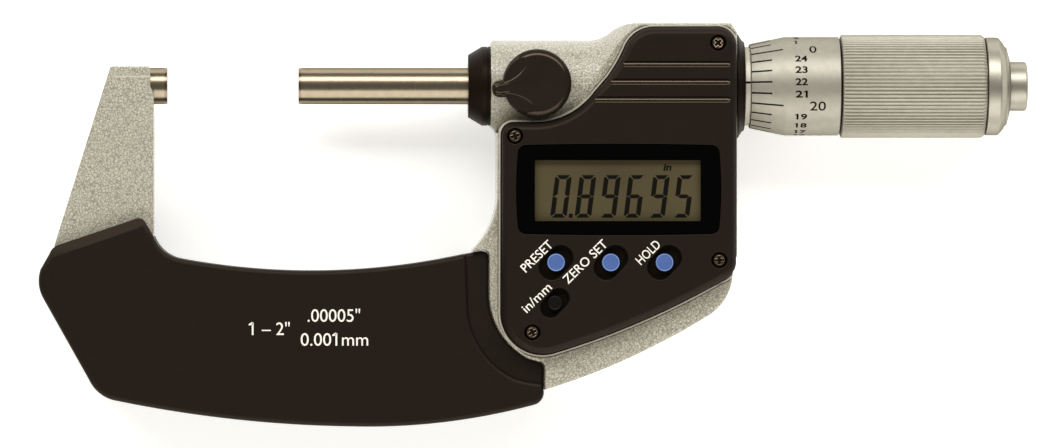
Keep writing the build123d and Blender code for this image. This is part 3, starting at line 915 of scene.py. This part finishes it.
def make_ribs():
    """The grip ribs on the display cover, and their worn edges."""
    ribs, edges = Shape(), Shape()
    slope = raised(COVER_TOP, [(0.0, -0.2), (0.0, 0.11), (0.16, 0.18)])
    for start, y in RIBS:
        loop = rib_outline(start, y, RIB_HALF)
        ribs.add(prism(inset(loop, 0.05), plain(COVER_TOP - 0.2, COVER_TOP + 0.14)))
        edges.add(ring_plate(loop, slope, inset(loop, 0.19), plain(COVER_TOP - 0.2, COVER_TOP + 0.18)))
    piece("cover_ribs", ribs, BODY, "black_cover")
    piece("rib_edges", edges, BODY, "black_cover", sharp=math.radians(12), finish="worn_edge")


# ---- display and buttons

LCD = (63.76, -23.53, 92.47, -13.0)
LCD_TOP = cad_high("lcd_panel")[2]
READOUT = "089695"
DIGITS_START = (66.38, -22.92)
DIGIT_HEIGHT = 7.32
DIGIT_WIDTH = 2.86
DIGIT_PITCH = 4.25
UPRIGHT, LEVEL, SLIT, CORNER = 0.80, 0.64, 0.10, 0.34
SLANT = 0.127


def make_display():
    """The window's black border, open over the display."""
    low, top = COVER_TOP - 1.0, COVER_TOP - 0.12
    outer = [(0, low), (0, top - 0.1), (0.1, top)]
    bezel = ring_plate(window_outline(), outer, rectangle(*LCD, 0.2), [(0, low), (-0.03, top)])
    piece("display_bezel", bezel, BODY, "window_black", ["display_window"])


def digit_bars(digit):
    """The lit bars of one display digit, with slanted ends that leave thin slits."""
    w, h, u, v, g, c = DIGIT_WIDTH, DIGIT_HEIGHT, UPRIGHT, LEVEL, SLIT, CORNER
    m = h / 2
    top = [(c, h), (u + g * 0.6, h - v), (w - u - g * 0.6, h - v), (w - c, h)]
    side = [(0, h - c - 0.12), (0, m + g * 0.7), (u * 0.45, m + g * 0.7), (u, m + v / 2 + g * 0.5),
            (u, h - v - g * 1.2), (0.16, h - c + 0.06)]
    middle = [(u * 0.55, m), (u + g, m - v / 2), (w - u - g, m - v / 2), (w - u * 0.55, m),
              (w - u - g, m + v / 2), (u + g, m + v / 2)]
    bars = {
        "a": top,
        "f": side,
        "b": [(w - x, y) for x, y in side],
        "g": middle,
        "e": [(x, h - y) for x, y in side],
        "c": [(w - x, h - y) for x, y in side],
        "d": [(x, h - y) for x, y in top],
    }
    lit = {"0": "abcdef", "5": "afgcd", "6": "afgecd", "8": "abcdefg", "9": "abcdfg"}[digit]
    return [bars[name] for name in lit]


def make_digits():
    """The reading, with a point after its first digit, and its unit."""
    shape = Shape()
    z = LCD_TOP + 0.01

    def add_bar(points):
        loop = np.array([(DIGITS_START[0] + x + SLANT * y, DIGITS_START[1] + y) for x, y in points])
        shape.add(prism(loop if area(loop) > 0 else loop[::-1], plain(z, z + PRINT_DEPTH)))

    for place, digit in enumerate(READOUT):
        for points in digit_bars(digit):
            add_bar([(x + place * DIGIT_PITCH, y) for x, y in points])
    x, size = DIGIT_WIDTH + 0.36, 0.66
    add_bar([(x, 0), (x + size, 0), (x + size, size), (x, size)])
    piece("display_digits", shape, BODY, "lcd_glass", finish="display_segment")

    def place_unit(x, y, out):
        return (86.0 + x + 0.2 * y, -14.75 + y, z + out)

    lettering("display_unit", "in", 1.2, 1.35, place_unit, BODY, "lcd_glass", "display_segment", 0.05)


def make_button(name, spot):
    """A button's cap, and on a blue one a pale ring of painted highlight round its top."""
    slot, radius = ("black_button", 1.28) if name == "unit" else ("blue_button", 1.55)
    body = name + "_button_body"
    cap = [(8.3, 0), (8.3, 1.0), (10.0, 1.0), (10.0, radius - 0.1), (10.05, radius), (10.5, radius),
           (10.66, radius - 0.06), (10.7, radius - 0.16), (10.66, radius - 0.24), (10.64, radius - 0.3),
           (10.64, 0)]
    piece(name + "_cap", upright(lathe(cap, 64), spot), body, slot, [name + "_button"])
    if slot == "blue_button":
        rim = [(10.6, radius - 0.22), (10.715, radius - 0.2), (10.715, radius - 0.1), (10.6, radius - 0.05)]
        piece(name + "_cap_painted_highlight", upright(lathe(rim, 64), spot), body, slot, finish="blue_painted_highlight")


def make_marks():
    """The key names, printed along their slanted wells, and the range and resolution on the bow."""
    slanted, level = math.radians(44.3), 0.0
    marks = (
        ("origin_label", "PRESET", 1.66, (62.2, -32.5), 6.7, slanted, COVER_TOP, 0.008),
        ("zero_label", "ZERO SET", 1.66, (69.5, -34.5), 9.7, slanted, COVER_TOP, 0.008),
        ("hold_label", "HOLD", 1.66, (82.15, -31.2), 4.85, slanted, COVER_TOP, 0.008),
        ("unit_label", "in/mm", 1.66, (62.35, -39.5), 6.15, slanted, COVER_TOP, 0.008),
        ("range_mark", '1 \u2013 2"', 2.3, (14.2, -43.3), 7.1, level, BOW_TOP, 0.0),
        ("inch_mark", '.00005"', 2.3, (24.4, -41.0), 9.1, level, BOW_TOP, 0.0),
        ("metric_mark", "0.001mm", 2.3, (23.2, -45.15), 11.7, level, BOW_TOP, 0.0),
    )
    for name, words, height, start, width, angle, top, bold in marks:
        def place(x, y, out, angle=angle, start=start, top=top):
            return (*turned(x, y, angle, start), top + out)

        lettering(name, words, height, width, place, BODY, "black_cover", "white_print", bold)


def make_well_liners():
    """The dark rubber seal in each button well, carried up the well's walls as painted shade."""
    seals_and_shade = Shape()
    low, high = 9.45, COVER_TOP - 0.2
    mouth = [(0, high), (0.06, high - 0.05), (0.08, low + 0.15)]
    for name in BUTTONS:
        seals_and_shade.add(prism(well_outline(name, -0.03), plain(low, high), [(well_outline(name, -0.09), mouth)]))
    piece("well_seals_and_painted_shade", seals_and_shade, BODY, "rubber")


# ---- screws

COVER_SCREW_R = 1.13
BOW_SCREW_R = 1.65


def cross(centre, radius, angle):
    """The outline of a cross recess in a screw head of this radius."""
    a, b = radius * 0.64, radius * 0.21
    points = [(b, -a), (b, -b), (a, -b), (a, b), (b, b), (b, a), (-b, a), (-b, b), (-a, b), (-a, -b),
              (-b, -b), (-b, -a)]
    return np.array([turned(x, y, angle, centre) for x, y in points])


def screw_head(spot, low, high, radius, angle):
    side = [(0, low)] + raised(high, [(0, -0.22), (0.04, -0.12), (0.2, 0)])
    recess = raised(high, [(-0.08, 0), (0, -0.05), (0.04, -0.6)])
    return prism(circle(radius, spot, 48), side, [(cross(spot, radius, angle), recess)])


def make_screws():
    """The cover's screws, with a dark plug of painted shade in each recess, and the rear cover's."""
    high = COVER_TOP - 0.35
    heads, shade_plugs = Shape(), Shape()
    for spot, angle in zip(COVER_SCREWS, (0.3, 0.75, 0.1, 0.45)):
        heads.add(screw_head(spot, COVER_TOP - 1.5, high, COVER_SCREW_R, angle))
        # Under each cross recess sits a dark rubber plug: painted shade for the dark inside of the recess.
        floor = inset(cross(spot, COVER_SCREW_R, angle), 0.03)
        shade_plugs.add(prism(floor, plain(high - 0.59, high - 0.12)))
    piece("cover_screw_heads", heads, BODY, "screw_steel", ["cover_screws"], math.radians(12))
    piece("cover_screw_painted_shade", shade_plugs, BODY, "rubber")
    rear = Shape()
    for spot, angle in zip(BOW_SCREWS, (0.2, 0.9, 0.5)):
        rear.add(screw_head(spot, 0, 1.4, BOW_SCREW_R, angle))
    rear.moved(lambda x, y, z: (x, y, BACK + 1.4 - z))
    piece("bow_screw_heads", rear, BODY, "screw_steel", ["bow_cover_screws"])


# ---- lock lever

def lever_scoop(side, high):
    """The hollow beside the pointer's ridge, running out to nothing where the pointer ends."""
    fade, reach = -1.15, -9.0
    loop = outline(
        (fade, 3.3), ((-2.3, 2.15), (-3.3, 1.5)), ((-4.75, 0.93), (-6.9, 0.72)), (reach, 0.7),
        (reach, 7.0), (fade, 7.0),
    )
    cut = prism(loop, raised(high, [(0.26, 0), (0.12, 0.07), (0.0, 0.3), (0.0, 3.0)]))
    return cut.moved(lambda x, y, z: (x, side * y, z + 0.15 * (x - fade)))


def make_lever():
    """The knob with its pointer, made level and then turned a little on its axis."""
    low, high = cad_span("lock_lever", 2)
    radius = 5.95
    rim = [(low, 0), (low, radius - 0.15), (low + 0.15, radius), (high - 0.9, radius),
           (high - 0.82, radius - 0.03), (high - 0.19, radius - 0.64), (high - 0.14, radius - 0.72),
           (high - 0.03, radius - 0.96), (high, radius - 1.1), (high, 0)]
    lever = solid(upright(lathe(rim, 128), (0, 0)))
    tab = rounded([(-7.85, -1.36, 1.3), (-4.0, -1.7, 0), (-4.0, 1.7, 0), (-7.85, 1.36, 1.3)])
    carve(lever, prism(tab, soft_edge(low, -1, 0.15, 2) + soft_edge(high - 0.75, 1, 0.5, 3)), "UNION")
    nose = rounded([(-7.4, -0.74, 0.68), (-4.0, -1.0, 0), (-4.0, 1.0, 0), (-7.4, 0.74, 0.68)])
    carve(lever, prism(nose, raised(high, [(0, -1.2), (0, -0.3), (0.04, -0.15), (0.3, 0)])), "UNION")
    for side in (1, -1):
        carve(lever, lever_scoop(side, high))
    for vertex in lever.data.vertices:
        x, y, z = vertex.co
        vertex.co = (*turned(x, y, math.radians(8.5), LOCK), z)
    piece("lock_lever_knob", lever, LEVER, "lever_black", ["lock_lever"], math.radians(14))


# ---- turned pieces

THIMBLE_FRONT = cad_low("thimble")[0] - 0.16
CONE_END = 107.5
FRONT_RADIUS = 7.32
BARREL_RADIUS = cad_high("thimble")[1]
SLEEVE_RADIUS = cad_high("inner_sleeve")[1]
GRIP_RADIUS = 9.0
GROOVES = 84
GROOVE_DEPTH = 0.28
GROOVE_STEPS = (0.0, 0.0, 0.1, 0.55, 1.0, 1.0, 0.55, 0.1)    # the depth's share, across one groove


def make_spindle():
    """The carbide face and the shaft, with a slot behind for the sensor's key."""
    x0, x1 = cad_span("spindle_tip")
    end = cad_high("spindle")[0]
    tip = [(x0, 0), (x0, SPINDLE_R - 0.05), (x0 + 0.05, SPINDLE_R), (x1, SPINDLE_R), (x1, 0)]
    piece("spindle_carbide", lathe(tip), SPINDLE, "carbide", ["spindle_tip"])
    shaft = solid(lathe([
        (x1, 0), (x1, SPINDLE_R), (95.0, SPINDLE_R), (95.0, 3.6), (137.0, 3.6), (end, 3.0), (end, 0)]))
    carve(shaft, prism(rectangle(57.7, -0.6, 90.6, 0.6, 0.3), plain(-4.0, 0.7 - SPINDLE_R)))
    piece("spindle_shaft", shaft, SPINDLE, "spindle_chrome", ["spindle"])


def make_anvil():
    x0, x1 = cad_span("anvil_tip")
    tip = [(x0, 0), (x0, SPINDLE_R), (x1 - 0.05, SPINDLE_R), (x1, SPINDLE_R - 0.05), (x1, 0)]
    piece("anvil_carbide", lathe(tip), BODY, "carbide", ["anvil_tip"])
    head = [(-8.3, 0), (-8.3, 2.0), (-2.95, 2.0), (-2.95, SPINDLE_R), (x0, SPINDLE_R), (x0, 0)]
    piece("anvil_head", lathe(head), BODY, "spindle_chrome", ["anvil"])


def make_seal_cap():
    x0, x1 = cad_span("spindle_seal_cap")
    hub = x1 - 1.16
    profile = rounded([
        (x0, 3.4, 0), (x0, 5.47, 0.12), (54.78, 6.9, 0.25), (hub - 0.62, 6.9, 0.06),
        (hub - 0.56, 6.78, 0.03), (hub - 0.46, 6.78, 0.03), (hub - 0.4, 6.9, 0.04), (hub, 6.9, 0),
        (hub, 6.0, 0), (x1, 6.0, 0), (x1, 4.6, 0), (53.7, 4.6, 0), (53.7, 3.4, 0)])
    piece("seal_cap", lathe(profile), BODY, "black_steel", ["spindle_seal_cap"])


def make_collar_and_sleeve():
    x0, x1 = cad_low("rear_collar")[0], cad_high("rear_collar")[0] - 0.22
    collar = rounded([(x0, 6.86, 0), (x0, 9.2, 0.1), (x0 + 0.4, 9.2, 0.15), (x1 - 0.35, 7.95, 0.15),
                      (x1, 7.75, 0.1), (x1, 6.86, 0)])
    piece("collar", lathe(collar), BODY, "black_steel", ["rear_collar"])
    s0, s1 = cad_span("inner_sleeve")
    sleeve = [(s0, 5.75), (s0, 6.85), (s1 - 0.2, 6.85), (s1, 6.65), (s1, 5.75)]
    # The sleeve's paler chrome is painted light against the shade it sits in.
    piece("sleeve", lathe(sleeve), BODY, "satin_chrome", ["inner_sleeve"], finish="pale_chrome_painted_light")


def make_thimble():
    """The barrel, with a dark ring of painted shade in the gap where the grip begins."""
    x0, x1 = THIMBLE_FRONT, cad_high("thimble")[0]
    profile = rounded([
        (x0, 6.92, 0), (x0, 7.16, 0), (x0 + 0.14, 7.34, 0.02), (CONE_END, BARREL_RADIUS, 1.5),
        (117.0, BARREL_RADIUS, 0.08), (117.0, 7.85, 0), (x1, 7.85, 0), (x1, 3.02, 0), (137.0, 3.62, 0),
        (137.0, 6.92, 0)])
    piece("thimble_barrel", lathe(profile, 240), SPINDLE, "satin_chrome", ["thimble"])
    # The dark steel ring in the gap before the grip is painted shade, for the shadow in that gap.
    gap_shade_ring = lathe([(117.01, 7.86), (117.01, 8.25), (117.33, 8.25), (117.33, 7.86)], 240)
    piece("thimble_painted_gap_shade", gap_shade_ring, SPINDLE, "black_steel")


def make_knurl():
    """The grip: straight grooves all round, with a plain turned edge at each end."""
    x0, x1 = cad_span("ratchet_sleeve")
    bore = 7.93
    count = GROOVES * len(GROOVE_STEPS)
    turns = np.arange(count) * math.tau / count
    cut = GROOVE_DEPTH * np.tile(GROOVE_STEPS, GROOVES)
    rim = [(x0, -0.3, 0.9), (x0 + 0.16, -0.06, 1), (x0 + 0.22, 0, 1), (x1 - 0.65, 0, 1),
           (x1 - 0.55, -0.03, 1), (x1 - 0.12, -0.32, 1)]
    stations = [(x, GRIP_RADIUS + out - share * cut) for x, out, share in rim]
    stations += [(x, np.full(count, bore)) for x in (x1 - 0.12, x0)]
    shape = Shape()
    rings = [shape.ring(np.c_[np.full(count, x), radii * np.sin(turns), radii * np.cos(turns)])
             for x, radii in stations]
    for a, b in zip(rings, rings[1:] + rings[:1]):
        shape.wall(a, b)
    piece("knurled_sleeve", shape, RATCHET, "satin_chrome", ["ratchet_sleeve"], math.radians(50),
          "knurl_chrome")


def make_cap_and_knob():
    """The plain turned cap behind the grip, and the end of the speeder knob in it."""
    x0, x1 = cad_low("end_cap")[0], cad_high("speeder_knob")[0]
    cap = rounded([
        (x0, 6.6, 0), (x0, 7.93, 0), (142.3, 7.93, 0), (142.3, 6.9, 0), (142.66, 6.9, 0),
        (142.66, 8.42, 0.06), (142.8, 8.55, 0.06), (144.9, 8.55, 0.55), (145.75, 7.55, 0.5),
        (146.05, 6.95, 0.15), (146.35, 6.8, 0.12), (146.87, 4.9, 0.1), (146.87, 1.8, 0), (144.6, 1.8, 0),
        (144.6, 6.6, 0)])
    piece("ratchet_cap", lathe(cap, 200), RATCHET, "satin_chrome", ["end_cap"], finish="bright_chrome")
    knob = lathe(rounded([
        (144.6, 0, 0), (144.6, 1.8, 0), (146.87, 1.8, 0), (146.87, 4.28, 0.05), (x1, 4.28, 0.45),
        (x1, 0, 0)]), 128)
    piece("speeder_knob_end", knob, RATCHET, "satin_chrome", ["speeder_knob"], finish="bright_chrome")


# ---- thimble scale

INDEX_ANGLE = math.radians(4.5)
DIVISIONS = 25
READING = 22            # the division that stands at the index line
PITCH = 0.635           # the feed of one turn
SLEEVE_DIVISIONS = 44
LINE_WIDTH = 0.28
LINE_DEPTH = 0.04
LINE_RISE = 0.02


def on_barrel(x, angle, radius):
    return (x, radius * math.sin(angle), radius * math.cos(angle))


def barrel_radius(x):
    """The radius of the thimble's cone, then its cylinder, at x."""
    share = (x - THIMBLE_FRONT) / (CONE_END - THIMBLE_FRONT)
    return FRONT_RADIUS + (BARREL_RADIUS - FRONT_RADIUS) * min(1.0, max(0.0, share))


def scale_line(x0, x1, angle, width, radius_at, steps=6):
    """A thin bar laid along the barrel at one angle."""
    rings = []
    for x in np.linspace(x0, x1, steps + 1):
        low, high = radius_at(x) - LINE_DEPTH, radius_at(x) + LINE_RISE
        half = width / 2 / radius_at(x)
        corners = [(angle - half, low), (angle + half, low), (angle + half, high), (angle - half, high)]
        rings.append([on_barrel(x, turn, reach) for turn, reach in corners])
    return Shape().sweep(rings)


def make_scale():
    """25 divisions round the thimble: every fifth has a longer line and a larger numeral."""
    lines = Shape()
    for number in range(DIVISIONS):
        angle = INDEX_ANGLE + (number - READING) * math.tau / DIVISIONS
        fifth = number % 5 == 0
        length = 5.6 if fifth else 3.65
        lines.add(scale_line(THIMBLE_FRONT + 0.15, THIMBLE_FRONT + length, angle, LINE_WIDTH, barrel_radius))
        height, left, digit = (1.78, 111.6, 1.25) if fifth else (1.22, 109.05, 0.96)
        width = digit * (2.22 if number > 9 else 1.0)
        width *= 0.5 if number == 1 else 1.0

        def place(x, y, out, angle=angle, left=left, height=height):
            radius = BARREL_RADIUS + out - 0.012
            return on_barrel(left + x, angle + (y - height / 2) / radius, radius)

        lettering(f"scale_{number}", str(number), height, width, place, SPINDLE, "satin_chrome",
                  "black_fill", 0.02 if fifth else 0.045, longest=0.35)
    piece("scale_lines", lines, SPINDLE, "satin_chrome", finish="black_fill")


def sleeve_tick(x0, x1, turn, steps=4):
    """A thin bar laid round the sleeve from the index line."""
    low, high = SLEEVE_RADIUS - LINE_DEPTH, SLEEVE_RADIUS + LINE_RISE
    corners = [(x0, low), (x1, low), (x1, high), (x0, high)]
    angles = np.linspace(INDEX_ANGLE, INDEX_ANGLE + turn, steps + 1)
    return Shape().sweep([[on_barrel(x, angle, reach) for x, reach in corners] for angle in angles])


def make_index():
    """The sleeve's index line, with one division for each turn of the thimble beside it."""
    x0, x1 = cad_high("rear_collar")[0] - 0.3, cad_high("inner_sleeve")[0] - 1.0
    marks = scale_line(x0, x1, INDEX_ANGLE, 0.38, lambda x: SLEEVE_RADIUS, 1)
    for number in range(1, SLEEVE_DIVISIONS + 1):
        x = THIMBLE_FRONT + 0.2 + number * PITCH
        length = 2.6 if number % 4 == 0 else 1.5
        marks.add(sleeve_tick(x, x + 0.13, length / SLEEVE_RADIUS))
    piece("index_line", marks, BODY, "satin_chrome", finish="black_fill")


# ---- back

def make_battery_lid():
    """The round lid in the back, with a slot for a coin."""
    slot = stadium(BATTERY, 4.4, 0.75, 0.0)
    levels = soft_edge(8.15, -1, 0.05, 2) + soft_edge(9.5, 1, 0.25, 3)
    lid = prism(circle(7.2, BATTERY), levels, [(slot, [(-0.1, 9.5), (0, 9.4), (0, 8.8)])])
    lid.moved(lambda x, y, z: (x, y, -z))
    piece("battery_lid_disc", lid, "battery_lid_body", "black_steel", ["battery_lid"])


# ---- studio

PAPER_GLOW = 0.45


def make_floor():
    """A round of pale paper under the object, glowing a little towards white."""
    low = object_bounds()[0][2]
    floor = solid(prism(circle(4000.0, (60, -24)), [(0, low / MM - 20), (0, low / MM)]))
    floor.name = "floor"
    floor.data.transform(Matrix.Scale(MM, 4))
    paper = Nodes("pale_paper", (0.92, 0.92, 0.92), 0.9, specular=0.1)
    paper.feed(paper.shader, {"Emission Color": (1.0, 1.0, 1.0, 1), "Emission Strength": PAPER_GLOW})
    paper.bump(paper.noise(3.0, 2), 0.01, 0.2)
    floor.data.materials.append(paper.material)


def area_light(name, direction, distance, width, depth, brightness, colour):
    """A lit rectangle of the given radiance, facing the object."""
    light = bpy.data.lights.new(name, "AREA")
    light.shape = "RECTANGLE"
    light.size, light.size_y = width, depth
    light.energy = brightness * math.pi * width * depth
    light.color = colour
    lamp = linked(name, light)
    middle = Vector((0.062, -0.015, 0.0))
    away = Vector(direction).normalized()
    lamp.location = middle + away * distance
    lamp.rotation_euler = away.to_track_quat("Z", "Y").to_euler()


def make_lights():
    """A narrow bright box behind, a broad one in front, and a dim warm room."""
    def tilt(degrees):
        return (0, math.sin(math.radians(degrees)), math.cos(math.radians(degrees)))

    area_light("back_strip", tilt(46), 1.0, 2.2, 0.42, 5.0, (1.0, 0.99, 0.95))
    area_light("front_softbox", tilt(-53), 1.0, 2.2, 0.95, 1.85, (1.0, 0.975, 0.92))
    world = bpy.data.worlds.new("studio")
    world.use_nodes = True
    background = world.node_tree.nodes["Background"]
    background.inputs["Color"].default_value = (1.0, 0.93, 0.82, 1)
    background.inputs["Strength"].default_value = 0.20
    bpy.context.scene.world = world
    bpy.context.scene.view_settings.view_transform = "Standard"


def make_camera():
    """Nearly straight down, from 1.33 m, a little to the left of the middle."""
    camera = bpy.data.cameras.new("camera")
    eye = Vector((27.05, -24.05, 1330.0)) * MM
    target = Vector((62.3, -24.05, 0.0)) * MM
    field = 183.2 * MM
    camera.sensor_width = 36
    camera.lens = 36 * (eye - target).length / field
    camera.clip_start, camera.clip_end = 0.1, 20
    eye_object = linked("camera", camera)
    eye_object.location = eye
    eye_object.rotation_euler = (0, math.atan2(eye.x - target.x, eye.z), 0)
    bpy.context.scene.camera = eye_object


finish_cad_nodes()
make_frame()
make_bead()
make_paint_ridges()
make_bow_cover("bow_front_shell", "bow_cover_front", 0.1, BOW_TOP, FLANGE_TOP, True)
make_bow_cover("bow_rear_shell", "bow_cover_rear", BACK, -0.1, BACK + 0.6, False)
make_display_cover()
make_ribs()
make_display()
make_digits()
for button, place in BUTTONS.items():
    make_button(button, place)
make_well_liners()
make_marks()
make_screws()
make_lever()
make_spindle()
make_anvil()
make_seal_cap()
make_collar_and_sleeve()
make_thimble()
make_knurl()
make_cap_and_knob()
make_scale()
make_index()
make_battery_lid()
make_floor()
make_lights()
make_camera()
